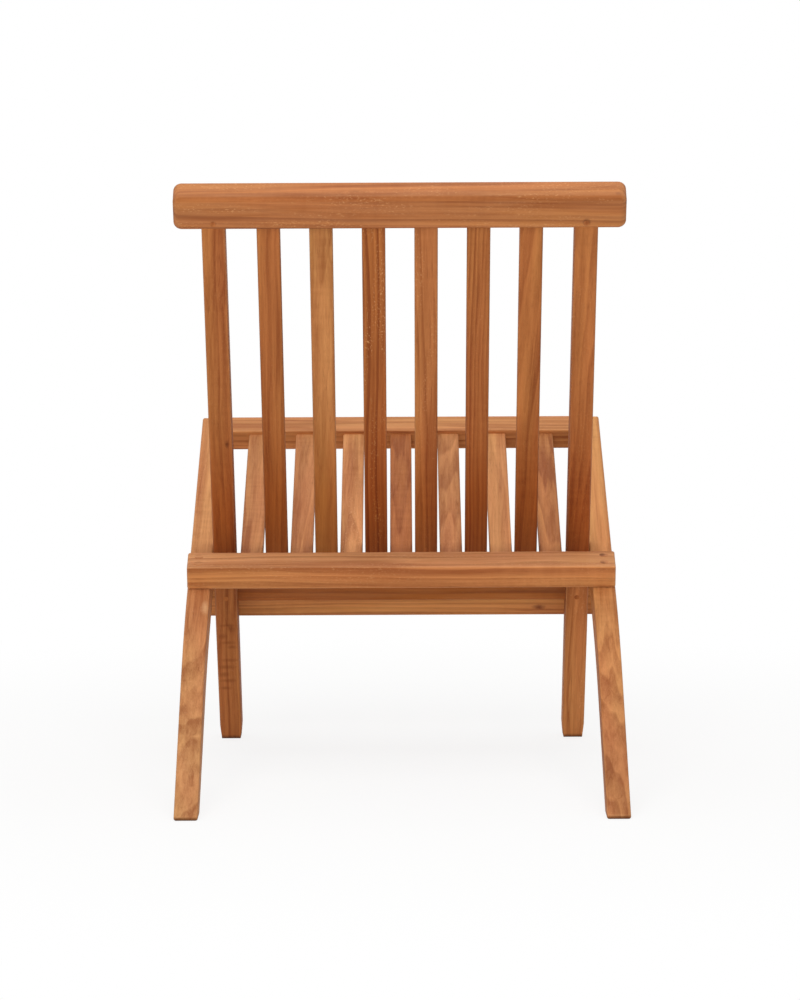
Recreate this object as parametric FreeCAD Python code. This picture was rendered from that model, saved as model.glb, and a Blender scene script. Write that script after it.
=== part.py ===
import FreeCAD, Part
import math
import os
from FreeCAD import Vector

# Folding slatted teak chair, standing open on its four feet.
# X runs across the chair, the front looks along -Y, Z is up, sizes are in millimetres.
# Two wooden frames cross like scissors and turn on a pair of steel pivots.
# The back frame runs from the top rail down to the front feet.
# The seat frame runs from the seat's front edge down to the rear feet.

# Overall stance
pivot_height = 222.0
seat_angle = 20.2
back_lean = 33.4
rear_leg_angle = 33.5
fold_angle = 95.0

# Widths across the chair
seat_frame_width = 482.0
frame_gap = 1.0
board_thickness = 25.5
slat_width = 25.5
seat_slat_count = 7
back_slat_count = 6

# Side members of the seat frame, seen from the side
side_depth_at_pivot = 42.0
side_depth_at_front = 36.0
side_depth_at_foot = 28.0
seat_reach = 361.0
knee_reach = 214.5
knee_radius = 775.0
nose_radius = 7.0

# Stiles of the back frame, seen from the side
stile_front_offset = 20.0
stile_rear_offset = 20.7
stile_taper_angle = 1.4
stile_bend_drop = 86.5
stile_bend_angle = 4.4
stile_bend_radius = 500.0
foot_corner_radius = 3.0
foot_taper_inset = 1.8
foot_taper_height = 18.0

# Rails
top_rail_start = 476.0
top_rail_height = 43.5
top_rail_thickness = 32.0
top_rail_overhang = 30.0
top_rail_corner = 9.0
top_rail_rounding = 6.0
housing_depth = 3.0
front_rail_width = 42.0
front_rail_thickness = 25.0
front_rail_setback = 2.0
rear_rail_width = 40.0
rear_rail_thickness = 27.0
rear_rail_reach = 106.5
bottom_rail_drop = 11.0
bottom_rail_height = 46.5
stretcher_height = 65.5
stretcher_thickness = 25.0
stop_gap = 0.2

# Slats
slat_thickness = 16.0
seat_slat_drop = 4.5
seat_slat_lap = 28.0
seat_slat_undercut = 23.0
back_slat_inset = 3.0
edge_rounding = 2.5

# Tenons
slat_tenon_length = 18.0
slat_tenon_thickness = 8.0
tenon_shoulder = 3.0
rail_tenon_length = 18.0
rail_tenon_thickness = 10.0
rail_tenon_shoulder = 6.0
bottom_tenon_shoulder = 12.0
stile_tenon_length = 24.0

# Pins, plugs and screws
pin_radius = 3.0
pin_length = 24.0
pin_stand_out = 0.3
plug_radius = 4.75
plug_depth = 7.0
screw_head_radius = 4.0
screw_radius = 2.2
screw_head_height = 3.0
screw_tip = 4.0
long_screw = 42.0
slat_screw = 30.0
slat_screw_sink = 3.0
rear_screw_pitch = 17.0
stretcher_screw_pitch = 28.0

# Pivots
pivot_radius = 5.0
pivot_clearance = 0.08
sleeve_head_height = 2.0
pivot_head_radius = 9.0
pivot_head_height = 3.5
pivot_screw_radius = 3.0
pivot_screw_length = 16.0
recess_clearance = 0.5
washer_radius = 11.0
washer_gap = 0.1
hex_socket = 5.0
hex_depth = 2.5

half_width = seat_frame_width / 2
side_middle = half_width - board_thickness / 2
side_inner = half_width - board_thickness
stile_outer = side_inner - frame_gap
stile_middle = stile_outer - board_thickness / 2
stile_inner = stile_outer - board_thickness
slat_pitch = (2 * side_inner + slat_width) / (seat_slat_count + 1)
top_rail_length = 2 * (stile_outer + top_rail_overhang)
side_top = side_depth_at_pivot / 2
sides = {"left": 1, "right": -1}


def seat_point(along, above):
    """Give (forward, height) of a point in the seat's own slope, from the pivot."""
    turn = math.radians(seat_angle)
    forward = along * math.cos(turn) - above * math.sin(turn)
    height = along * math.sin(turn) + above * math.cos(turn)
    return forward, pivot_height + height


def back_point(along, ahead):
    """Give (forward, height) of a point in the back's own slope, from the pivot."""
    turn = math.radians(back_lean)
    forward = -along * math.sin(turn) + ahead * math.cos(turn)
    height = along * math.cos(turn) + ahead * math.sin(turn)
    return forward, pivot_height + height


def in_space(x, point):
    """Turn a (forward, height) point of the side view into a point of the chair."""
    return Vector(x, -point[0], point[1])


def slope_point(start, angle, distance):
    """Go a distance from a side view point along a direction in degrees."""
    turn = math.radians(angle)
    return start[0] + distance * math.cos(turn), start[1] + distance * math.sin(turn)


def down_to_floor(start, angle):
    """Follow a direction in degrees from a side view point until the floor."""
    distance = -start[1] / math.sin(math.radians(angle))
    return slope_point(start, angle, distance)


def rounded_outline(corners):
    """Close a wire through (point, radius) corners, rounding each by a tangent arc."""
    count = len(corners)
    arcs = []
    for index, (point, radius) in enumerate(corners):
        here = in_space(0, point)
        before = in_space(0, corners[index - 1][0]) - here
        after = in_space(0, corners[(index + 1) % count][0]) - here
        before.normalize()
        after.normalize()
        half_angle = before.getAngle(after) / 2
        if radius <= 0 or half_angle > math.radians(89.9):
            arcs.append((here, None, here))
            continue
        reach = radius / math.tan(half_angle)
        middle_line = before + after
        middle_line.normalize()
        middle_reach = radius / math.sin(half_angle) - radius
        arcs.append((here + before * reach, here + middle_line * middle_reach, here + after * reach))
    edges = []
    for index, (start, middle, end) in enumerate(arcs):
        if middle is not None:
            edges.append(Part.Arc(start, middle, end).toShape())
        edges.append(Part.LineSegment(end, arcs[(index + 1) % count][0]).toShape())
    return Part.Wire(edges)


def side_board(corners, middle, width):
    """Saw a board from its side view outline, with its width across the chair."""
    board = Part.Face(rounded_outline(corners)).extrude(Vector(width, 0, 0))
    board.translate(Vector(middle - width / 2, 0, 0))
    return board


def block(to_side, along, across, middle, width):
    """Make a straight block from ranges along and across a frame's own slope."""
    points = [
        to_side(along[0], across[0]),
        to_side(along[1], across[0]),
        to_side(along[1], across[1]),
        to_side(along[0], across[1]),
    ]
    return side_board([(point, 0) for point in points], middle, width)


def ease(board, radius, shortest):
    """Round the board's edges that are at least as long as stated."""
    edges = [edge for edge in board.Edges if edge.Length >= shortest]
    return board.makeFillet(radius, edges)


def rod(start, end, radius):
    """Make a straight round rod between two points."""
    return Part.makeCylinder(radius, (end - start).Length, start, end - start)


def lathe(profile, base, axis):
    """Turn a half profile of (distance, radius) points about an axis from its base."""
    points = [Vector(radius, 0, distance) for distance, radius in profile]
    face = Part.Face(Part.makePolygon(points + points[:1]))
    solid = face.revolve(Vector(0, 0, 0), Vector(0, 0, 1), 360)
    solid.Placement = FreeCAD.Placement(base, FreeCAD.Rotation(Vector(0, 0, 1), axis))
    return solid


def wood_screw(base, axis, length):
    """Make a countersunk screw with its flat head at the base, pointing along the axis."""
    head_end = screw_head_height
    profile = [
        (0, 0),
        (0, screw_head_radius),
        (head_end, screw_radius),
        (length - screw_tip, screw_radius),
        (length, 0),
    ]
    return lathe(profile, base, axis)


def slat_places(count):
    """Spread slats evenly about the middle of the chair."""
    return [(index - (count - 1) / 2) * slat_pitch for index in range(count)]


def make_side_member(middle):
    """Make one long bent member that carries the seat and ends as a rear leg."""
    bend = rear_leg_angle - seat_angle
    knee_top = seat_point(-knee_reach, side_top)
    leg_down = 180 + rear_leg_angle
    heel = down_to_floor(knee_top, leg_down)
    sole = side_depth_at_foot / math.sin(math.radians(rear_leg_angle))
    toe = (heel[0] + sole, 0)
    tuck = side_depth_at_pivot * math.tan(math.radians(bend / 2))
    knee_bottom = seat_point(tuck - knee_reach, -side_top)
    corners = [
        (seat_point(seat_reach, side_top), nose_radius),
        (knee_top, knee_radius),
        (heel, foot_corner_radius),
        (toe, foot_corner_radius),
        (knee_bottom, knee_radius - side_depth_at_pivot),
        (seat_point(0, -side_top), knee_radius),
        (seat_point(seat_reach, side_top - side_depth_at_front), nose_radius),
    ]
    return ease(side_board(corners, middle, board_thickness), edge_rounding, edge_rounding)


def stile_rear(along):
    """Give how far the stile's rear face lies behind the pivot's line."""
    return -stile_rear_offset + along * math.tan(math.radians(stile_taper_angle))


def foot_wedge(middle, side, heel, toe):
    """Make the sliver that is planed off one side of a foot, across its sole."""
    face = middle + side * board_thickness / 2
    below = foot_taper_height / 4
    inset = foot_taper_inset * (foot_taper_height + below) / foot_taper_height
    spare = 2 * foot_corner_radius
    corners = [
        Vector(face, 0, foot_taper_height),
        Vector(face + side * spare, 0, foot_taper_height),
        Vector(face + side * spare, 0, -below),
        Vector(face - side * inset, 0, -below),
    ]
    wedge = Part.Face(Part.makePolygon(corners + corners[:1]))
    wedge.translate(Vector(0, -toe[0] - spare - foot_taper_height, 0))
    return wedge.extrude(Vector(0, toe[0] - heel[0] + 2 * (spare + foot_taper_height), 0))


def make_stile(middle):
    """Make one stile that runs from the top rail down to a front foot."""
    rear_face = 270 + back_lean - stile_taper_angle
    bend = back_point(-stile_bend_drop, stile_rear(-stile_bend_drop))
    heel = down_to_floor(bend, rear_face + stile_bend_angle)
    toe = down_to_floor(back_point(0, stile_front_offset), 270 + back_lean)
    shoulder = top_rail_start + housing_depth
    corners = [
        (back_point(shoulder, stile_front_offset), 0),
        (back_point(shoulder, stile_rear(shoulder)), 0),
        (bend, stile_bend_radius),
        (heel, foot_corner_radius),
        (toe, foot_corner_radius),
    ]
    stile = side_board(corners, middle, board_thickness)
    long_edges = 2 * (stile_front_offset + stile_rear_offset)
    stile = ease(stile, edge_rounding, long_edges)
    for side in sides.values():
        stile = stile.cut(foot_wedge(middle, side, heel, toe))
    section_middle = (stile_front_offset + stile_rear(shoulder)) / 2
    half_tenon = (stile_front_offset - stile_rear(shoulder)) / 2 - rail_tenon_shoulder
    tenon = block(
        back_point,
        (shoulder, shoulder + stile_tenon_length),
        (section_middle - half_tenon, section_middle + half_tenon),
        middle,
        rail_tenon_thickness,
    )
    return stile.fuse(tenon)


def make_back_slat(middle):
    """Make one back slat, housed in the top rail and tenoned into the bottom rail."""
    bottom = -bottom_rail_drop
    top = top_rail_start + housing_depth
    front = stile_front_offset - back_slat_inset
    rear = front - slat_thickness
    slat = block(back_point, (bottom, top), (rear, front), middle, slat_width)
    slat = ease(slat, edge_rounding, 2 * slat_width)
    tenon = block(
        back_point,
        (bottom - slat_tenon_length, top + slat_tenon_length),
        ((front + rear - slat_tenon_thickness) / 2, (front + rear + slat_tenon_thickness) / 2),
        middle,
        slat_width - 2 * tenon_shoulder,
    )
    return slat.fuse(tenon)


def make_seat_slat(middle):
    """Make one seat slat, tenoned into the front rail and lapped under the rear rail."""
    front = seat_reach - front_rail_setback - front_rail_width
    rear = -rear_rail_reach + rear_rail_width - seat_slat_lap
    low = side_top - seat_slat_drop
    tilt = math.degrees(math.atan2(seat_slat_drop, front - rear))
    start = seat_point(front, low)
    line = 180 + seat_angle - tilt
    length = math.hypot(front - rear, seat_slat_drop)
    below_start = slope_point(start, line + 90, slat_thickness)
    corners = [
        (start, 0),
        (slope_point(start, line, length), 0),
        (slope_point(below_start, line, length - seat_slat_undercut), 0),
        (below_start, 0),
    ]
    slat = side_board(corners, middle, slat_width)
    slat = ease(slat, edge_rounding, 2 * slat_width)
    middle_height = low - slat_thickness / 2
    tenon = block(
        seat_point,
        (front - tenon_shoulder, front + slat_tenon_length),
        (middle_height - slat_tenon_thickness / 2, middle_height + slat_tenon_thickness / 2),
        middle,
        slat_width - 2 * tenon_shoulder,
    )
    return slat.fuse(tenon)


def make_top_rail():
    """Make the top rail with rounded corners, before its housings are cut."""
    section_middle = (stile_front_offset + stile_rear(top_rail_start)) / 2
    half = top_rail_thickness / 2
    rail = block(
        back_point,
        (top_rail_start, top_rail_start + top_rail_height),
        (section_middle - half, section_middle + half),
        0,
        top_rail_length,
    )
    ends = [edge for edge in rail.Edges if abs(edge.Length - top_rail_thickness) < 0.01]
    rail = rail.makeFillet(top_rail_corner, ends)
    arc = math.pi / 2 * top_rail_corner
    rim = [edge for edge in rail.Edges if abs(edge.Length - top_rail_thickness) > 0.01]
    rim = [edge for edge in rim if edge.Length > arc - 0.01]
    return rail.makeFillet(top_rail_rounding, rim)


def make_front_rail():
    """Make the seat's front rail, with a tenon at each end for the side members."""
    front = seat_reach - front_rail_setback
    along = (front - front_rail_width, front)
    above = (side_top - front_rail_thickness, side_top)
    rail = block(seat_point, along, above, 0, 2 * side_inner)
    rail = ease(rail, edge_rounding, 2 * front_rail_width)
    middle = (above[0] + above[1]) / 2
    tenon = block(
        seat_point,
        (along[0] + rail_tenon_shoulder, along[1] - rail_tenon_shoulder),
        (middle - rail_tenon_thickness / 2, middle + rail_tenon_thickness / 2),
        0,
        2 * (side_inner + rail_tenon_length),
    )
    return rail.fuse(tenon)


def make_rear_rail():
    """Make the rear rail that lies across the side members behind the seat."""
    along = (-rear_rail_reach, -rear_rail_reach + rear_rail_width)
    above = (side_top, side_top + rear_rail_thickness)
    rail = block(seat_point, along, above, 0, seat_frame_width)
    return ease(rail, edge_rounding, edge_rounding)


def bottom_rail_across():
    """Give the rear and front faces of the back's bottom rail."""
    front = stile_front_offset - back_slat_inset
    return front - slat_thickness, front


def make_bottom_rail():
    """Make the rail that holds the lower ends of the back slats."""
    along = (-bottom_rail_drop - bottom_rail_height, -bottom_rail_drop)
    rear, front = bottom_rail_across()
    rail = block(back_point, along, (rear, front), 0, 2 * stile_inner)
    rail = ease(rail, edge_rounding, 2 * bottom_rail_height)
    tenon = block(
        back_point,
        (along[0] + bottom_tenon_shoulder, along[1] - bottom_tenon_shoulder),
        (rear + tenon_shoulder, front - tenon_shoulder),
        0,
        2 * (stile_inner + rail_tenon_length),
    )
    return rail.fuse(tenon)


def stretcher_top():
    """Give the height at which the stretcher stops the side members' undersides."""
    taper = math.atan2(side_depth_at_pivot - side_depth_at_front, seat_reach)
    turn = math.radians(back_lean - seat_angle) - taper
    ahead = stile_front_offset + stretcher_thickness - edge_rounding
    below = side_top * math.cos(taper) + edge_rounding + stop_gap
    return edge_rounding - (below + ahead * math.sin(turn)) / math.cos(turn)


def make_stretcher():
    """Make the stretcher that lies across the front faces of the stiles."""
    top = stretcher_top()
    across = (stile_front_offset, stile_front_offset + stretcher_thickness)
    rail = block(back_point, (top - stretcher_height, top), across, 0, seat_frame_width)
    return ease(rail, edge_rounding, edge_rounding)


def plugged_screw(to_side, along, face, x):
    """Make a screw sunk below a face and the wooden plug that covers it."""
    top = in_space(x, to_side(along, face))
    seat = in_space(x, to_side(along, face - plug_depth))
    axis = seat - top
    axis.normalize()
    screw = wood_screw(seat, axis, long_screw)
    plug = rod(top - axis * pin_stand_out, seat, plug_radius)
    return screw, plug


def hexagon_bar(base, axis, across_flats, length):
    """Make a six-sided bar from its base along an axis."""
    corner = Vector(across_flats / math.sqrt(3), 0, 0)
    turns = [FreeCAD.Rotation(Vector(0, 0, 1), 60 * step) for step in range(7)]
    outline = Part.makePolygon([turn.multVec(corner) for turn in turns])
    bar = Part.Face(outline).extrude(Vector(0, 0, length))
    bar.Placement = FreeCAD.Placement(base, FreeCAD.Rotation(Vector(0, 0, 1), axis))
    return bar


def make_pivot(side):
    """Make one pivot: a headed sleeve from inside, a screw from outside and a washer."""
    outward = Vector(side, 0, 0)
    centre = Vector(0, 0, pivot_height)
    face = centre + outward * half_width
    sleeve_start = centre + outward * (stile_inner + recess_clearance)
    sleeve_end = half_width - stile_inner - 2 * recess_clearance
    bore = pivot_screw_radius + pivot_clearance
    bore_end = sleeve_end - pivot_screw_length
    sleeve = lathe(
        [
            (0, 0),
            (0, pivot_head_radius),
            (sleeve_head_height, pivot_head_radius),
            (sleeve_head_height, pivot_radius),
            (sleeve_end, pivot_radius),
            (sleeve_end, bore),
            (bore_end, bore),
            (bore_end, 0),
        ],
        sleeve_start,
        outward,
    )
    screw = lathe(
        [
            (-pivot_screw_length, 0),
            (-pivot_screw_length, pivot_screw_radius),
            (0, pivot_screw_radius),
            (0, pivot_head_radius),
            (pivot_head_height / 3, pivot_head_radius),
            (pivot_head_height, pivot_head_radius * 0.6),
            (pivot_head_height, 0),
        ],
        face,
        outward,
    )
    socket_floor = face + outward * (pivot_head_height - hex_depth)
    screw = screw.cut(hexagon_bar(socket_floor, outward, hex_socket, pivot_head_height))
    washer_face = centre + outward * side_inner
    washer_end = centre + outward * (stile_outer + washer_gap)
    washer = rod(washer_face, washer_end, washer_radius)
    washer = washer.cut(rod(washer_face, washer_end, pivot_radius))
    return sleeve, screw, washer


def pivot_bore(side, start, end, radius):
    """Make the round cutter of a pivot hole between two distances from the middle."""
    centre = Vector(0, 0, pivot_height)
    return rod(centre + Vector(side * start, 0, 0), centre + Vector(side * end, 0, 0), radius)


def build():
    """Make every piece of the chair and return the pieces by name."""
    pieces = {}
    for name, side in sides.items():
        pieces["side_member_" + name] = make_side_member(side * side_middle)
        pieces["back_stile_" + name] = make_stile(side * stile_middle)
    for index, place in enumerate(slat_places(seat_slat_count)):
        pieces["seat_slat_%d" % (index + 1)] = make_seat_slat(place)
    for index, place in enumerate(slat_places(back_slat_count)):
        pieces["back_slat_%d" % (index + 1)] = make_back_slat(place)
    pieces["top_rail"] = make_top_rail()
    pieces["back_bottom_rail"] = make_bottom_rail()
    pieces["front_stretcher"] = make_stretcher()
    pieces["seat_front_rail"] = make_front_rail()
    pieces["seat_rear_rail"] = make_rear_rail()

    # Mortises and housings are cut with the pieces that fill them
    for index in range(seat_slat_count):
        slat = pieces["seat_slat_%d" % (index + 1)]
        pieces["seat_front_rail"] = pieces["seat_front_rail"].cut(slat)
    for index in range(back_slat_count):
        slat = pieces["back_slat_%d" % (index + 1)]
        pieces["top_rail"] = pieces["top_rail"].cut(slat)
        pieces["back_bottom_rail"] = pieces["back_bottom_rail"].cut(slat)
    for name in sides:
        side_name = "side_member_" + name
        stile_name = "back_stile_" + name
        pieces[side_name] = pieces[side_name].cut(pieces["seat_front_rail"])
        pieces[stile_name] = pieces[stile_name].cut(pieces["back_bottom_rail"])
        pieces["top_rail"] = pieces["top_rail"].cut(pieces[stile_name])

    # Pivots, with a running hole and a sunk recess in each stile
    for name, side in sides.items():
        sleeve, screw, washer = make_pivot(side)
        pieces["pivot_sleeve_" + name] = sleeve
        pieces["pivot_screw_" + name] = screw
        pieces["pivot_washer_" + name] = washer
        side_name = "side_member_" + name
        stile_name = "back_stile_" + name
        through = pivot_bore(side, stile_inner, stile_outer, pivot_radius + pivot_clearance)
        recess_end = stile_inner + sleeve_head_height + 2 * recess_clearance
        recess = pivot_bore(side, stile_inner, recess_end, pivot_head_radius + recess_clearance)
        tight = pivot_bore(side, side_inner, half_width, pivot_radius)
        pieces[side_name] = pieces[side_name].cut(tight)
        pieces[stile_name] = pieces[stile_name].cut(through).cut(recess)

    # Screws and plugs at the rear rail and the stretcher
    rear_screws = []
    rear_plugs = []
    front_screws = []
    front_plugs = []
    rear_middle = rear_rail_width / 2 - rear_rail_reach
    rear_face = side_top + rear_rail_thickness
    front_middle = stretcher_top() - stretcher_height / 2
    front_face = stile_front_offset + stretcher_thickness
    for name, side in sides.items():
        for half in (-1, 1):
            along = rear_middle + half * rear_screw_pitch / 2
            screw, plug = plugged_screw(seat_point, along, rear_face, side * side_middle)
            rear_screws.append(screw)
            rear_plugs.append(plug)
            for board in ("seat_rear_rail", "side_member_" + name):
                pieces[board] = pieces[board].cut(screw).cut(plug)
            along = front_middle + half * stretcher_screw_pitch / 2
            screw, plug = plugged_screw(back_point, along, front_face, side * stile_middle)
            front_screws.append(screw)
            front_plugs.append(plug)
            for board in ("front_stretcher", "back_stile_" + name):
                pieces[board] = pieces[board].cut(screw).cut(plug)
    pieces["rear_rail_screws"] = Part.makeCompound(rear_screws)
    pieces["rear_rail_plugs"] = Part.makeCompound(rear_plugs)
    pieces["stretcher_screws"] = Part.makeCompound(front_screws)
    pieces["stretcher_plugs"] = Part.makeCompound(front_plugs)

    # Screws from below through each seat slat into the rear rail
    slat_screws = []
    lap_middle = -rear_rail_reach + rear_rail_width - seat_slat_lap / 4
    slat_bottom = side_top - slat_thickness + slat_screw_sink
    for index, place in enumerate(slat_places(seat_slat_count)):
        slat_name = "seat_slat_%d" % (index + 1)
        base = in_space(place, seat_point(lap_middle, slat_bottom))
        axis = in_space(place, seat_point(lap_middle, side_top)) - base
        axis.normalize()
        screw = wood_screw(base, axis, slat_screw)
        mouth = rod(base - axis * 2 * slat_screw_sink, base, screw_head_radius)
        pieces[slat_name] = pieces[slat_name].cut(screw).cut(mouth)
        pieces["seat_rear_rail"] = pieces["seat_rear_rail"].cut(screw)
        slat_screws.append(screw)
    pieces["seat_slat_screws"] = Part.makeCompound(slat_screws)

    # Pins that lock the stiles' tenons in the top rail and the bottom rail in the stiles
    top_pins = []
    bottom_pins = []
    section_middle = (stile_front_offset + stile_rear(top_rail_start)) / 2
    rail_rear = section_middle - top_rail_thickness / 2
    top_pin_height = top_rail_start + housing_depth + pin_radius + tenon_shoulder
    bottom_pin_height = -bottom_rail_drop - bottom_rail_height / 2
    for name, side in sides.items():
        stile_name = "back_stile_" + name
        place = side * stile_middle
        pin = rod(
            in_space(place, back_point(top_pin_height, rail_rear - pin_stand_out)),
            in_space(place, back_point(top_pin_height, rail_rear + pin_length)),
            pin_radius,
        )
        top_pins.append(pin)
        pieces["top_rail"] = pieces["top_rail"].cut(pin)
        pieces[stile_name] = pieces[stile_name].cut(pin)
        start = stile_rear(bottom_pin_height) - pin_stand_out
        reach = bottom_rail_across()[1]
        pin = rod(
            in_space(place, back_point(bottom_pin_height, start)),
            in_space(place, back_point(bottom_pin_height, reach)),
            pin_radius,
        )
        bottom_pins.append(pin)
        pieces["back_bottom_rail"] = pieces["back_bottom_rail"].cut(pin)
        pieces[stile_name] = pieces[stile_name].cut(pin)
    pieces["top_rail_pins"] = Part.makeCompound(top_pins)
    pieces["bottom_rail_pins"] = Part.makeCompound(bottom_pins)
    return pieces


def main():
    """Centre the chair over the origin, then write one STEP file per piece."""
    pieces = build()
    whole = Part.makeCompound(list(pieces.values())).optimalBoundingBox(False)
    shift = Vector(0, -(whole.YMin + whole.YMax) / 2, 0)
    os.makedirs("parts", exist_ok=True)
    for name, shape in pieces.items():
        shape.translate(shift)
        shape.exportStep("parts/%s.step" % name)
        solids = len(shape.Solids)
        print("%-22s %2d solids %10.1f mm3 valid %s" % (name, solids, shape.Volume, shape.isValid()))
    print("size %.2f x %.2f x %.2f" % (whole.XLength, whole.YLength, whole.ZLength))
    print("pivot at y %.3f z %.3f, fold 0 to %.0f degrees" % (shift.y, pivot_height, fold_angle))
    for label, point in {
        "rear": down_to_floor(seat_point(-knee_reach, side_top), 180 + rear_leg_angle),
        "front": down_to_floor(
            back_point(-stile_bend_drop, stile_rear(-stile_bend_drop)),
            270 + back_lean - stile_taper_angle + stile_bend_angle,
        ),
    }.items():
        print("%s feet: heel at y %.2f" % (label, shift.y - point[0]))


main()
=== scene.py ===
import math
import random

import bmesh
import bpy
from mathutils import Euler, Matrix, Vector


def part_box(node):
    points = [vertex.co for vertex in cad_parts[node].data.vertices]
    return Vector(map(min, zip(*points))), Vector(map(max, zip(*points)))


# A folding slatted teak chair, seen from behind and a little above.
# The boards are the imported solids. Each gets teak cut from its own part of a tree.

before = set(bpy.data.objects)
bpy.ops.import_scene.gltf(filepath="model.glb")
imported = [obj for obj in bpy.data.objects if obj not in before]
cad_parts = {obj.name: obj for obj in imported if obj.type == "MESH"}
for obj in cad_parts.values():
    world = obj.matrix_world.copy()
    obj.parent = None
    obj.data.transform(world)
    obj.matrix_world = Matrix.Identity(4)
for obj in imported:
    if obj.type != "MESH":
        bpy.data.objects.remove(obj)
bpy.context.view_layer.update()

# Slopes of the boards, in degrees, as the chair is built
seat_slope = 20.2
back_slope = 33.4

# How the grain of each kind of board lies: turned about X or Y until it runs along Z
grain_turns = {
    "across": Euler((0.0, math.radians(-90.0), 0.0)),
    "seat": Euler((math.radians(seat_slope - 90.0), 0.0, 0.0)),
    "back": Euler((math.radians(back_slope), 0.0, 0.0)),
}

# Where in the tree the boards are cut, in metres from its core and along its length
core_distances = (0.07, 0.13)
tree_length = 9.0

# How much nearer to the core the flat-sawn boards lie, and how far round it they spread
flat_sawn_nearness = 0.45
flat_sawn_spread = 0.15

# Teak tones in display values, and how far the light and the dark wood lie from a tone
tones = {
    "blond": (194, 125, 68),
    "straw": (184, 123, 71),
    "honey": (186, 118, 67),
    "golden": (176, 110, 62),
    "amber": (168, 100, 53),
    "russet": (163, 92, 46),
    "umber": (154, 82, 30),
}
light_wood = (1.14, 1.21, 1.26)
dark_wood = (0.85, 0.78, 0.72)

# Colours of marks, flecks, dirt in the pores, the darker bottom of the feet and the worn edges with
# their painted highlight, in display values
knot_brown = (92, 42, 16)
knot_red = (112, 46, 18)
flame_brown = (112, 54, 22)
rubbed_pale = (236, 190, 140)
fleck_pale = (218, 160, 104)
pore_brown = (92, 48, 26)
sole_brown = (70, 40, 24)
edge_pale_and_highlight = (240, 205, 165)

# Colours of the steel and of the floor, in display values
steel_light = (188, 187, 183)
steel_dark = (160, 158, 154)
floor_grey = (244, 243, 241)
pure_white = (255, 255, 255)

# Tints that the wood's colour is multiplied by
yellowish = (0.99, 1.02, 0.98)
reddish = (1.02, 0.95, 0.95)
# The bleaching tint also paints light on the faces that look up
bleach_and_top_light_tint = (1.17, 1.34, 1.72)
# The back's tint where it passes through the seat is painted shade
painted_shade_tint = (0.78, 0.60, 0.43)

# How much paler or darker the wood gets towards the feet: paler on the back stiles as the wood's own
# tone, darker on the side members as painted shade
foot_tones_and_painted_shade = {
    "back_stile_left": (1.08, 1.10, 1.12),
    "back_stile_right": (1.45, 1.70, 1.95),
    "side_member_left": (0.88, 0.96, 0.98),
    "side_member_right": (0.70, 0.62, 0.65),
}

# Heights in metres at which a change of the colour, or of the painted shade, starts and at which it is
# complete
foot_tone_and_painted_shade_heights = (0.20, 0.06)
sole_darkening_heights = (0.005, 0.001)
painted_shade_upper_heights = (0.44, 0.28)
painted_shade_lower_heights = (0.19, 0.23)

# How far up a face has to look for the sun bleaching and the painted top light to start, and to be full
bleach_and_top_light_facings = (0.05, 0.75)

# How strongly the darkening at the very bottom of the feet, the dirt in the pores, and the wear and
# painted highlight of the edges show
sole_darkening = 0.8
pore_dirt = 0.26
edge_wear_and_highlight = 0.25

# How far the worn edges, with their painted highlight, turn from the light wood to their pale colour
edge_paleness_and_highlight = 0.3

# How square to the board a face is where the edges' wear and painted highlight start, and where they are
# full
edge_squareness = (0.97, 0.80)

# When in a year a ring's dark side grows and fades, and when its pale line has ended
ring_growth = (0.08, 0.86)
ring_fade = (0.84, 1.0)
pale_line_end = 0.16

# How weak the weakest ring is, and by how many rings the growth of the tree is uneven
weakest_ring = 0.25
growth_unevenness = 1.8

# Patterns of the wood: repeats per metre across and along the grain, detail, roughness, low and high
patterns = {
    "streak": (330.0, 4.0, 3.0, 0.6, 0.30, 0.70),
    "fibre": (1300.0, 26.0, 2.0, 0.5, 0.30, 0.70),
    "band": (70.0, 2.6, 2.0, 0.5, 0.32, 0.68),
    "ripple": (28.0, 120.0, 2.0, 0.5, 0.35, 0.70),
    "ripple patch": (9.0, 5.0, 1.0, 0.5, 0.45, 0.65),
    "warmth": (38.0, 3.0, 1.0, 0.5, 0.35, 0.65),
    "pore": (1700.0, 60.0, 1.0, 0.5, 0.60, 0.72),
    "fleck": (700.0, 340.0, 1.0, 0.5, 0.58, 0.72),
    "fleck cluster": (75.0, 9.0, 2.0, 0.5, 0.44, 0.60),
}

# Roughness of the wood from plain to streaked, of the steel, and what the pores add to it
wood_roughness = (0.52, 0.64)
steel_roughness = (0.26, 0.42)
pore_roughness = 0.14

# Depth in metres and strength of the grain's relief
relief_depth = 0.0003
relief_strength = 0.35

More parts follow.
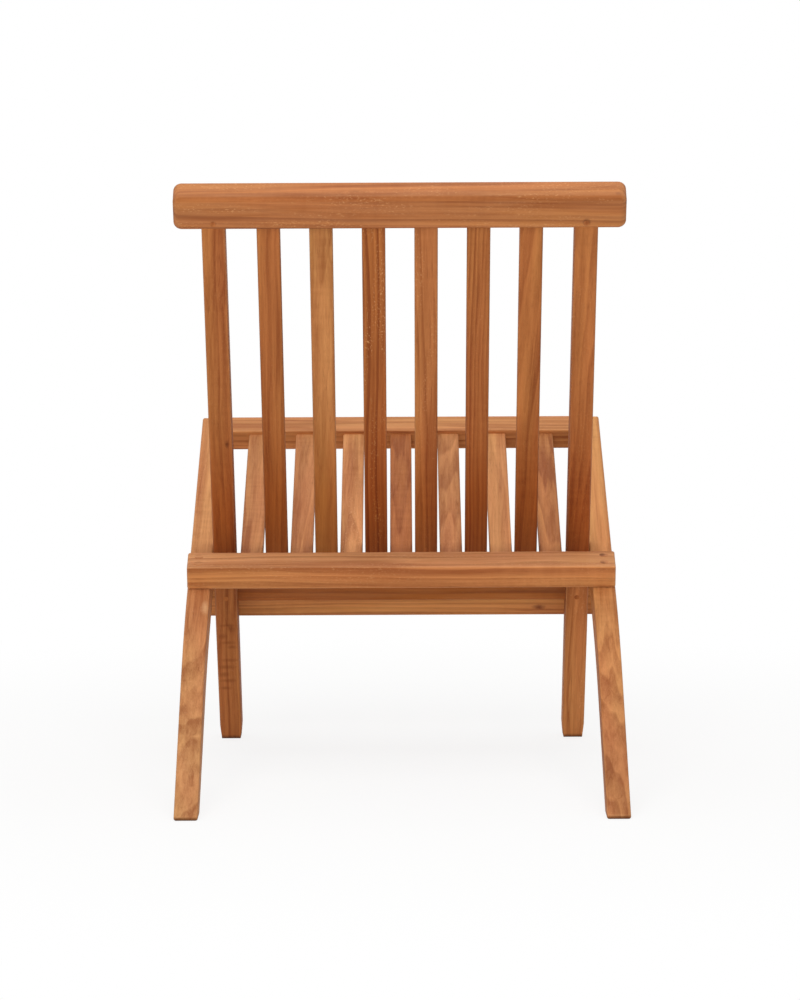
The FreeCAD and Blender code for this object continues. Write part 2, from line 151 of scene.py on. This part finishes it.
# Every board, with its grain, tone, ring width, ring strength, waviness, slant and flecks
boards = [
    ("top_rail", "across", "amber", 0.0070, 0.60, 0.014, 1.0, 0.5),
    ("back_stile_left", "back", "amber", 0.0080, 0.40, 0.026, 2.0, 0.1),
    ("back_stile_right", "back", "amber", 0.0070, 0.30, 0.014, 1.5, 0.2),
    ("back_slat_1", "back", "amber", 0.0080, 0.35, 0.016, 3.0, 0.1),
    ("back_slat_2", "back", "amber", 0.0045, 0.60, 0.010, 1.0, 0.1),
    ("back_slat_3", "back", "golden", 0.0040, 0.40, 0.012, 1.0, 0.3),
    ("back_slat_4", "back", "russet", 0.0050, 0.85, 0.012, 1.0, 0.7),
    ("back_slat_5", "back", "straw", 0.0100, 0.30, 0.016, 2.0, 0.0),
    ("back_slat_6", "back", "amber", 0.0050, 0.45, 0.014, 1.0, 0.1),
    # The bottom rail's dark umber tone is partly painted shade under the seat, and the stretcher's blond
    # tone partly painted light
    ("back_bottom_rail", "across", "umber", 0.0060, 0.40, 0.014, 1.0, 0.1),
    ("front_stretcher", "across", "blond", 0.0060, 0.50, 0.018, 1.0, 0.1),
    ("side_member_left", "seat", "honey", 0.0100, 0.40, 0.005, 1.0, 0.2),
    ("side_member_right", "seat", "blond", 0.0100, 0.45, 0.005, 0.7, 0.2),
    ("seat_front_rail", "across", "honey", 0.0060, 0.60, 0.014, 1.0, 0.1),
    ("seat_rear_rail", "across", "honey", 0.0080, 0.40, 0.016, 1.0, 0.3),
    ("seat_slat_1", "seat", "amber", 0.0070, 0.60, 0.010, 3.0, 0.1),
    ("seat_slat_2", "seat", "honey", 0.0070, 0.35, 0.010, 2.0, 0.1),
    ("seat_slat_3", "seat", "golden", 0.0070, 0.50, 0.010, 2.5, 0.1),
    ("seat_slat_4", "seat", "russet", 0.0060, 0.40, 0.010, 1.5, 0.1),
    ("seat_slat_5", "seat", "honey", 0.0070, 0.40, 0.010, 2.5, 0.5),
    ("seat_slat_6", "seat", "golden", 0.0080, 0.35, 0.010, 2.0, 0.1),
    ("seat_slat_7", "seat", "golden", 0.0070, 0.35, 0.010, 2.0, 0.1),
    ("rear_rail_plugs", "across", "honey", 0.0080, 0.40, 0.016, 1.0, 0.1),
    ("stretcher_plugs", "back", "golden", 0.0040, 0.30, 0.010, 1.0, 0.1),
    ("top_rail_pins", "seat", "amber", 0.0040, 0.30, 0.010, 1.0, 0.1),
    ("bottom_rail_pins", "back", "russet", 0.0040, 0.20, 0.010, 1.0, 0.1),
]

# Flames across the left front leg, as (place across, place down the leg, half width, half height)
flame_start = Vector((0.2011, -0.0784, 0.1479))
down_the_leg = Vector((0.029, -0.585, -0.810))
flame_half_depth = 0.0060
flame_strength = 0.45
flames = [
    (0.0000, 0.000, 0.0130, 0.0026),
    (-0.0050, 0.005, 0.0060, 0.0060),
    (0.0060, 0.017, 0.0070, 0.0050),
    (-0.0010, 0.027, 0.0110, 0.0030),
    (-0.0050, 0.034, 0.0080, 0.0030),
    (-0.0030, 0.055, 0.0120, 0.0032),
    (0.0010, 0.066, 0.0140, 0.0036),
    (0.0040, 0.078, 0.0090, 0.0050),
    (-0.0010, 0.088, 0.0120, 0.0032),
    (0.0020, 0.100, 0.0090, 0.0030),
]
leg_flames = []
for across, down, half_width, half_height in flames:
    centre = flame_start + Vector((across, 0.0, 0.0)) + down * down_the_leg
    leg_flames.append((centre, (half_width, flame_half_depth, half_height), flame_strength, flame_brown))

# How ragged a mark is, and where its rim starts and ends, in half sizes with the raggedness added
mark_raggedness = 0.7
mark_rim = (0.55, 1.35)

# Where the top rail's pins end, and how large a dark spot on a plug is
left_pin = (0.2018, 0.2200, 0.6218)
right_pin = (-left_pin[0], left_pin[1], left_pin[2])
plug_dark_spot = (0.0055, 0.0055, 0.0055)

# Marks on the boards, as (centre and half sizes in metres, strength, colour)
marks = {
    "back_stile_left": [
        ((0.1943, 0.0602, 0.3696), (0.0030, 0.0060, 0.0070), 0.75, knot_brown),
        *leg_flames,
    ],
    "side_member_left": [((0.2190, 0.0920, 0.1890), (0.0060, 0.0200, 0.0120), 0.45, rubbed_pale)],
    "front_stretcher": [((-0.1600, -0.1193, 0.1630), (0.0090, 0.0060, 0.0050), 1.00, knot_red)],
    "top_rail": [
        (left_pin, (0.0042, 0.0060, 0.0042), 0.60, knot_brown),
        (right_pin, (0.0052, 0.0080, 0.0052), 1.00, knot_brown),
        ((0.0475, 0.2289, 0.6561), (0.0090, 0.0050, 0.0035), 0.35, knot_brown),
        # A long dark grain line along the top rail, which also paints shade under the highlight on its
        # rounded top
        ((0.0400, 0.2350, 0.6525), (0.3000, 0.0080, 0.0060), 0.40, flame_brown),
        ((-0.2353, 0.2338, 0.6529), (0.0050, 0.0040, 0.0030), 0.40, knot_brown),
    ],
    "top_rail_pins": [(right_pin, (0.0040, 0.0080, 0.0040), 0.35, knot_brown)],
    # A long dark band darkens the lower face of the rear rail
    "seat_rear_rail": [((0.0200, 0.0530, 0.2105), (0.3000, 0.0080, 0.0065), 0.30, flame_brown)],
    "rear_rail_plugs": [
        ((-0.2262, 0.0331, 0.2405), plug_dark_spot, 0.75, knot_brown),
        ((-0.2265, 0.0521, 0.2336), plug_dark_spot, 0.65, knot_brown),
    ],
}

# Soft lamps, as (name, place, size in metres, power in watts), and the point that they face
softboxes = [
    ("overhead", (0.0, 0.5, 3.0), 2.6, 52.0),
    ("behind", (0.8, 4.4, 1.2), 2.4, 80.0),
]
lamp_target = (0.0, 0.0, 0.3)

# Strength of the even light from all round
surrounding_light = 0.36

# How white the floor looks under the chair and further off, and at which distances in metres
floor_whiteness = (0.85, 1.0)
floor_fade = (0.35, 1.2)

# The camera's place, its lens in millimetres, and how far it looks down and is rolled, in degrees
camera_place = (-0.0010, 5.0812, 0.7913)
camera_lens = 162.0
camera_dip = 5.52
camera_roll = 0.25


def colour(red, green, blue):
    """Turn a colour written in display values into the shader's linear values."""
    values = [channel / 255 for channel in (red, green, blue)]
    linear = [v / 12.92 if v <= 0.04045 else ((v + 0.055) / 1.055) ** 2.4 for v in values]
    return (*linear, 1.0)


def shade_of(tone, shares):
    """Give the light or the dark wood of a tone."""
    return colour(*[channel * share for channel, share in zip(tones[tone], shares)])


def add_node(tree, kind, inputs=None, **settings):
    """Add a shader node, set its options, then link or fill its inputs."""
    node = tree.nodes.new(kind)
    for name, value in settings.items():
        setattr(node, name, value)
    for name, value in (inputs or {}).items():
        if isinstance(value, bpy.types.NodeSocket):
            tree.links.new(value, node.inputs[name])
        else:
            node.inputs[name].default_value = value
    return node


def calculate(tree, operation, *values):
    """Add one math node and give its result."""
    return add_node(tree, "ShaderNodeMath", dict(enumerate(values)), operation=operation).outputs[0]


def calculate_vector(tree, operation, *vectors):
    """Add one vector math node and give the vector that it makes."""
    inputs = dict(enumerate(vectors))
    return add_node(tree, "ShaderNodeVectorMath", inputs, operation=operation).outputs["Vector"]


def measure_length(tree, vector):
    """Give the length of a vector."""
    return add_node(tree, "ShaderNodeVectorMath", {0: vector}, operation="LENGTH").outputs["Value"]


def remap(tree, value, low, high, new_low=0.0, new_high=1.0, kind="LINEAR"):
    """Stretch a value's range, held within its new limits."""
    inputs = {0: value, 1: low, 2: high, 3: new_low, 4: new_high}
    return add_node(tree, "ShaderNodeMapRange", inputs, clamp=True, interpolation_type=kind).outputs[0]


def stretched_noise(tree, place, across, along, detail, roughness=0.5):
    """Add a noise that is drawn out along the grain."""
    stretched = calculate_vector(tree, "MULTIPLY", place, (across, across, along))
    inputs = {"Vector": stretched, "Scale": 1.0, "Detail": detail, "Roughness": roughness}
    return add_node(tree, "ShaderNodeTexNoise", inputs).outputs


def draw_pattern(tree, place, name):
    """Draw one of the wood's patterns, from 0 where it is absent to 1 where it is full."""
    across, along, detail, roughness, low, high = patterns[name]
    return remap(tree, stretched_noise(tree, place, across, along, detail, roughness)["Fac"], low, high)


def mix_colour(tree, factor, first, second, blend_type="MIX"):
    """Mix two colours and give the result."""
    inputs = {0: factor, 6: first, 7: second}
    settings = {"data_type": "RGBA", "blend_type": blend_type}
    return add_node(tree, "ShaderNodeMix", inputs, **settings).outputs[2]


def tint_wood(tree, factor, wood, tint):
    """Multiply the wood's colour by a tint, as far as the factor says."""
    return mix_colour(tree, factor, wood, (*tint, 1.0), "MULTIPLY")


def new_group(name, inputs, outputs):
    """Start a node group, and give it with the sockets of what goes in and of what comes out."""
    group = bpy.data.node_groups.new(name, "ShaderNodeTree")
    for direction, sockets in (("INPUT", inputs), ("OUTPUT", outputs)):
        for socket_name, kind in sockets.items():
            group.interface.new_socket(socket_name, in_out=direction, socket_type="NodeSocket" + kind)
    given = group.nodes.new("NodeGroupInput").outputs
    made = group.nodes.new("NodeGroupOutput").inputs
    return group, given, made


def add_group(tree, group, inputs):
    """Place a node group in a material and give its outputs."""
    return add_node(tree, "ShaderNodeGroup", inputs, node_tree=group).outputs


def bend_wood(group, place, waviness):
    """Let the rings drift along the board, because the tree never grew quite straight."""
    drift = stretched_noise(group, place, across=12.0, along=3.2, detail=2.0, roughness=0.45)["Color"]
    drift = calculate_vector(group, "SUBTRACT", drift, (0.5, 0.5, 0.5))
    inputs = {0: drift, "Scale": waviness}
    drift = add_node(group, "ShaderNodeVectorMath", inputs, operation="SCALE").outputs["Vector"]
    return calculate_vector(group, "ADD", place, drift)


def draw_rings(group, place, ring_width):
    """Draw the rings about the tree's core, each with a soft dark side and a faint pale line."""
    radius = measure_length(group, calculate_vector(group, "MULTIPLY", place, (1.0, 1.0, 0.0)))
    years = calculate(group, "DIVIDE", radius, ring_width)
    uneven = stretched_noise(group, place, across=70.0, along=0.8, detail=1.0)["Fac"]
    years = calculate(group, "MULTIPLY_ADD", uneven, growth_unevenness, years)
    season = calculate(group, "FRACT", years)
    year = calculate(group, "FLOOR", years)

    # Each year's ring has a strength of its own
    chance = add_node(group, "ShaderNodeTexWhiteNoise", {"W": year}, noise_dimensions="1D")
    strength = remap(group, chance.outputs["Value"], 0.0, 1.0, weakest_ring, 1.0)
    late = remap(group, season, *ring_growth, kind="SMOOTHSTEP")
    fade = remap(group, season, *ring_fade, 1.0, 0.0, kind="SMOOTHSTEP")
    ring = calculate(group, "MULTIPLY", calculate(group, "MULTIPLY", late, fade), strength)
    pale = remap(group, season, 0.0, pale_line_end, 1.0, 0.0, kind="SMOOTHSTEP")
    pale = calculate(group, "MULTIPLY", pale, remap(group, strength, 0.7, 0.95))
    return ring, pale


def draw_veins(group, place, band):
    """Draw thin dark veins that show most in the dark bands."""
    vein = stretched_noise(group, place, across=130.0, along=2.2, detail=1.0)["Fac"]
    vein = calculate(group, "ABSOLUTE", calculate(group, "SUBTRACT", vein, 0.5))
    vein = remap(group, vein, 0.0, 0.035, 1.0, 0.0)
    return calculate(group, "MULTIPLY", vein, remap(group, band, 0.2, 0.8))


def make_teak_figure():
    """Draw teak through the wood: rings about the tree's core, streaks, flecks and pores."""
    inputs = {
        "Place": "Vector",
        "Light wood": "Color",
        "Dark wood": "Color",
        "Ring width": "Float",
        "Ring strength": "Float",
        "Waviness": "Float",
        "Flecks": "Float",
    }
    outputs = {"Color": "Color", "Roughness": "Float", "Height": "Float"}
    group, given, made = new_group("teak_figure", inputs, outputs)
    place = given["Place"]
    bent = bend_wood(group, place, given["Waviness"])
    ring, pale = draw_rings(group, bent, given["Ring width"])
    streak = draw_pattern(group, bent, "streak")
    fibre = draw_pattern(group, bent, "fibre")
    band = draw_pattern(group, bent, "band")
    vein = draw_veins(group, bent, band)

    # A faint ripple runs across the grain in patches
    ripple = draw_pattern(group, place, "ripple")
    ripple = calculate(group, "MULTIPLY", ripple, draw_pattern(group, place, "ripple patch"))

    # Each pattern darkens the wood by its own share, and the pale lines of the rings lighten it
    figure = calculate(group, "MULTIPLY", ring, given["Ring strength"])
    for pattern, share in ((streak, 0.30), (fibre, 0.14), (band, 0.46), (vein, 0.22), (ripple, 0.15)):
        figure = calculate(group, "MULTIPLY_ADD", pattern, share, figure)
    lightening = calculate(group, "MULTIPLY", given["Ring strength"], -0.4)
    figure = calculate(group, "MULTIPLY_ADD", pale, lightening, figure)
    figure = remap(group, figure, 0.12, 1.02)
    wood = mix_colour(group, figure, given["Light wood"], given["Dark wood"])

    # The wood runs from yellowish to reddish along broad bands of its own
    warmth = draw_pattern(group, place, "warmth")
    warmth = mix_colour(group, warmth, (*yellowish, 1.0), (*reddish, 1.0))
    wood = mix_colour(group, 1.0, wood, warmth, "MULTIPLY")

    # Open pores are short dark dashes with a little dirt in them, most of all in the rings
    pore = draw_pattern(group, place, "pore")
    pore = calculate(group, "MULTIPLY", pore, remap(group, ring, 0.0, 0.5, 0.45, 1.0))
    wood = mix_colour(group, calculate(group, "MULTIPLY", pore, pore_dirt), wood, colour(*pore_brown))

    # Pale mineral flecks lie in clusters
    cluster = draw_pattern(group, place, "fleck cluster")
    cluster = calculate(group, "MULTIPLY", cluster, given["Flecks"])
    fleck = calculate(group, "MULTIPLY", draw_pattern(group, place, "fleck"), cluster)
    wood = mix_colour(group, fleck, wood, colour(*fleck_pale))

    # Streaks and pores are rougher, the pores lie deep, and the fibres and rings stand a little proud
    roughness = remap(group, streak, 0.0, 1.0, *wood_roughness)
    roughness = calculate(group, "MULTIPLY_ADD", pore, pore_roughness, roughness)
    height = calculate(group, "MULTIPLY_ADD", pore, -1.0, calculate(group, "MULTIPLY", fibre, 0.35))
    height = calculate(group, "MULTIPLY_ADD", ring, 0.3, height)
    group.links.new(wood, made["Color"])
    group.links.new(roughness, made["Roughness"])
    group.links.new(height, made["Height"])
    return group


def make_mark_mask():
    """Mark a ragged spot at one place in a board, full at its heart with a soft rim."""
    inputs = {"Place": "Vector", "Centre": "Vector", "Size": "Vector"}
    group, given, made = new_group("teak_knot", inputs, {"Mask": "Float"})
    away = calculate_vector(group, "SUBTRACT", given["Place"], given["Centre"])
    distance = measure_length(group, calculate_vector(group, "DIVIDE", away, given["Size"]))
    ragged = stretched_noise(group, given["Place"], across=260.0, along=260.0, detail=3.0)["Fac"]
    distance = calculate(group, "MULTIPLY_ADD", ragged, mark_raggedness, distance)
    group.links.new(remap(group, distance, *mark_rim, 1.0, 0.0), made["Mask"])
    return group


def make_edge_mask():
    """Mark a board's rounded edges, where its surface faces between the board's own directions, for
    their wear and their painted highlight.
    """
    inputs = {"Normal": "Vector", "Place": "Vector"}
    group, given, made = new_group("worn_and_highlit_edges", inputs, {"Mask": "Float"})
    facing = calculate_vector(group, "ABSOLUTE", given["Normal"])
    parts = add_node(group, "ShaderNodeSeparateXYZ", {0: facing}).outputs
    squarest = calculate(group, "MAXIMUM", calculate(group, "MAXIMUM", parts[0], parts[1]), parts[2])
    edge = remap(group, squarest, *edge_squareness)
    rubbed = stretched_noise(group, given["Place"], across=120.0, along=14.0, detail=2.0)["Fac"]
    mask = calculate(group, "MULTIPLY", edge, remap(group, rubbed, 0.3, 0.7, 0.35, 1.0))
    group.links.new(mask, made["Mask"])
    return group


teak_figure = make_teak_figure()
mark_mask = make_mark_mask()
edge_mask = make_edge_mask()


def cut_from_tree(board, grain, slant):
    """Choose where in the tree a board is cut, a few degrees off its grain: its shift and its turn."""
    low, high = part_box(board)
    middle = (low + high) / 2
    off_grain = Euler((math.radians(random.choice((-slant, slant))), math.radians(slant / 2), 0.0))
    turn = (off_grain.to_matrix() @ grain_turns[grain].to_matrix()).to_euler()
    direction = random.uniform(0.0, 2 * math.pi)
    distance = random.uniform(*core_distances)
    if grain == "seat":
        # Flat-sawn: the tree's core lies close under the board's face, so its rings show as arches
        direction = math.pi / 2 + flat_sawn_spread * (direction - math.pi)
        distance = flat_sawn_nearness * distance
    core = Vector((math.cos(direction), math.sin(direction), 0.0)) * distance
    core.z = random.uniform(0.0, tree_length)
    return core - turn.to_matrix() @ middle, turn


def bleach_and_top_light_share(board):
    """Tell how much sun bleaching and painted top light a board's upper faces get, most of all on the
    flat-lying seat.
    """
    if "rear_rail" in board:
        return 1.0
    if board.startswith(("seat", "side")):
        return 0.6
    return 0.15


def weather_and_paint_light(tree, board, grain, wood, coordinates):
    """Tint the feet, as painted shade on the side members, darken their very bottom, paint shade on the
    back where it passes through the seat, and bleach the faces that look up, which also paints light on
    them.
    """
    height = add_node(tree, "ShaderNodeSeparateXYZ", {0: coordinates["Object"]}).outputs["Z"]
    if board in foot_tones_and_painted_shade:
        # Towards the feet: the wood's own tone on the back stiles, painted shade on the side members
        foot = remap(tree, height, *foot_tone_and_painted_shade_heights)
        wood = tint_wood(tree, foot, wood, foot_tones_and_painted_shade[board])
        # The very bottom of the feet is darker
        sole_darkening_share = remap(tree, height, *sole_darkening_heights, 0.0, sole_darkening)
        wood = mix_colour(tree, sole_darkening_share, wood, colour(*sole_brown))
    if grain == "back":
        # Painted shade: the back is darkened where it passes through the seat
        below = remap(tree, height, *painted_shade_upper_heights, kind="SMOOTHSTEP")
        above = remap(tree, height, *painted_shade_lower_heights, kind="SMOOTHSTEP")
        wood = tint_wood(tree, calculate(tree, "MULTIPLY", below, above), wood, painted_shade_tint)
    # Upward faces are paler: sun bleaching and painted top light
    upward = add_node(tree, "ShaderNodeSeparateXYZ", {0: coordinates["Normal"]}).outputs["Z"]
    bleach_and_top_light = remap(tree, upward, *bleach_and_top_light_facings, 0.0, bleach_and_top_light_share(board), kind="SMOOTHSTEP")
    return tint_wood(tree, bleach_and_top_light, wood, bleach_and_top_light_tint)


def add_marks(tree, board, wood, place):
    """Add the knots, flames, stains and rubbed places of one board."""
    for centre, size, strength, mark_colour in marks.get(board, ()):
        spot = add_group(tree, mark_mask, {"Place": place, "Centre": centre, "Size": size})["Mask"]
        cover = calculate(tree, "MULTIPLY", spot, strength)
        wood = mix_colour(tree, cover, wood, colour(*mark_colour))
    return wood


def make_teak(board, grain, tone, ring_width, ring_strength, waviness, slant, flecks):
    """Make the teak of one board, with its own figure, weathering with painted shade and light, marks,
    and worn edges with a painted highlight.
    """
    material = bpy.data.materials.new("teak_" + board)
    material.use_nodes = True
    tree = material.node_tree
    shader = tree.nodes["Principled BSDF"]
    coordinates = tree.nodes.new("ShaderNodeTexCoord").outputs
    shift, turn = cut_from_tree(board, grain, slant)
    inputs = {"Vector": coordinates["Object"], "Location": shift, "Rotation": turn}
    place = add_node(tree, "ShaderNodeMapping", inputs, vector_type="POINT").outputs[0]
    inputs = {"Vector": coordinates["Normal"], "Rotation": grain_turns[grain]}
    facing = add_node(tree, "ShaderNodeMapping", inputs, vector_type="NORMAL").outputs[0]
    light = shade_of(tone, light_wood)
    inputs = {
        "Place": place,
        "Light wood": light,
        "Dark wood": shade_of(tone, dark_wood),
        "Ring width": ring_width,
        "Ring strength": ring_strength,
        "Waviness": waviness,
        "Flecks": flecks,
    }
    figure = add_group(tree, teak_figure, inputs)
    wood = weather_and_paint_light(tree, board, grain, figure["Color"], coordinates)
    wood = add_marks(tree, board, wood, coordinates["Object"])
    # The rounded edges are paler: wear and a painted highlight
    worn_and_highlit = add_group(tree, edge_mask, {"Normal": facing, "Place": place})["Mask"]
    worn_and_highlit_wood = mix_colour(tree, edge_paleness_and_highlight, light, colour(*edge_pale_and_highlight))
    wood = mix_colour(tree, calculate(tree, "MULTIPLY", worn_and_highlit, edge_wear_and_highlight), wood, worn_and_highlit_wood)
    tree.links.new(wood, shader.inputs["Base Color"])
    tree.links.new(figure["Roughness"], shader.inputs["Roughness"])
    inputs = {"Height": figure["Height"], "Strength": relief_strength, "Distance": relief_depth}
    relief = add_node(tree, "ShaderNodeBump", inputs).outputs["Normal"]
    tree.links.new(relief, shader.inputs["Normal"])
    shader.inputs["Specular IOR Level"].default_value = 0.12
    return material


def make_steel():
    """Make satin stainless steel, a little uneven in its shine."""
    material = bpy.data.materials.new("satin_steel")
    material.use_nodes = True
    tree = material.node_tree
    shader = tree.nodes["Principled BSDF"]
    place = tree.nodes.new("ShaderNodeTexCoord").outputs["Object"]
    uneven = stretched_noise(tree, place, across=900.0, along=900.0, detail=3.0)["Fac"]
    steel = mix_colour(tree, uneven, colour(*steel_light), colour(*steel_dark))
    tree.links.new(steel, shader.inputs["Base Color"])
    tree.links.new(remap(tree, uneven, 0.3, 0.7, *steel_roughness), shader.inputs["Roughness"])
    shader.inputs["Metallic"].default_value = 1.0
    return material


def dress(node, material):
    """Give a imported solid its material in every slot."""
    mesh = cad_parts[node].data
    if not mesh.materials:
        mesh.materials.append(material)
    for index in range(len(mesh.materials)):
        mesh.materials[index] = material


def seen_directly(tree):
    """Tell rays that reach the eye straight, by a mirror or through glass from those that light."""
    ray = tree.nodes.new("ShaderNodeLightPath").outputs
    mirrored = calculate(tree, "MAXIMUM", ray["Is Glossy Ray"], ray["Is Transmission Ray"])
    return calculate(tree, "MAXIMUM", ray["Is Camera Ray"], mirrored)


def add_floor():
    """Lay a plain pale floor that keeps a faint shadow and fades to white further off."""
    mesh = bpy.data.meshes.new("floor")
    shape = bmesh.new()
    bmesh.ops.create_grid(shape, x_segments=1, y_segments=1, size=30.0)
    shape.to_mesh(mesh)
    shape.free()
    floor = bpy.data.objects.new("floor", mesh)
    bpy.context.scene.collection.objects.link(floor)
    material = bpy.data.materials.new("pale_floor")
    material.use_nodes = True
    tree = material.node_tree
    shader = tree.nodes["Principled BSDF"]
    shader.inputs["Base Color"].default_value = colour(*floor_grey)
    shader.inputs["Roughness"].default_value = 0.9
    white = add_node(tree, "ShaderNodeEmission", {"Color": colour(*pure_white), "Strength": 1.0})
    distance = measure_length(tree, tree.nodes.new("ShaderNodeTexCoord").outputs["Object"])
    whiteness = remap(tree, distance, *floor_fade, *floor_whiteness, kind="SMOOTHSTEP")
    share = calculate(tree, "MULTIPLY", whiteness, seen_directly(tree))
    both = add_node(tree, "ShaderNodeMixShader", {0: share, 1: shader.outputs[0], 2: white.outputs[0]})
    tree.links.new(both.outputs[0], tree.nodes["Material Output"].inputs["Surface"])
    mesh.materials.append(material)


def add_world():
    """Give an even pale light from all round, and plain white behind the chair."""
    world = bpy.data.worlds.new("studio")
    bpy.context.scene.world = world
    world.use_nodes = True
    tree = world.node_tree
    background = tree.nodes["Background"]
    background.inputs["Color"].default_value = (1.0, 1.0, 1.0, 1.0)
    strength = remap(tree, seen_directly(tree), 0.0, 1.0, surrounding_light, 1.0)
    tree.links.new(strength, background.inputs["Strength"])


def add_softbox(name, place, size, power):
    """Hang one soft square lamp that faces the chair."""
    lamp = bpy.data.lights.new(name, "AREA")
    lamp.shape = "SQUARE"
    lamp.size = size
    lamp.energy = power
    holder = bpy.data.objects.new(name, lamp)
    holder.location = place
    toward_chair = Vector(lamp_target) - Vector(place)
    holder.rotation_euler = toward_chair.to_track_quat("-Z", "Y").to_euler()
    bpy.context.scene.collection.objects.link(holder)


def add_camera():
    """Stand the camera behind the chair where the photo was taken from."""
    camera = bpy.data.cameras.new("photo_camera")
    camera.lens = camera_lens
    camera.clip_end = 200.0
    holder = bpy.data.objects.new("photo_camera", camera)
    holder.location = camera_place
    turns = (90.0 - camera_dip, camera_roll, 180.0)
    holder.rotation_euler = [math.radians(turn) for turn in turns]
    bpy.context.scene.collection.objects.link(holder)
    bpy.context.scene.camera = holder


random.seed(41)
for board, *features in boards:
    dress(board, make_teak(board, *features))

steel = make_steel()
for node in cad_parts:
    if node.startswith("pivot_") or node.endswith("_screws"):
        dress(node, steel)

add_floor()
add_world()
for softbox in softboxes:
    add_softbox(*softbox)
add_camera()
bpy.context.scene.view_settings.view_transform = "Standard"
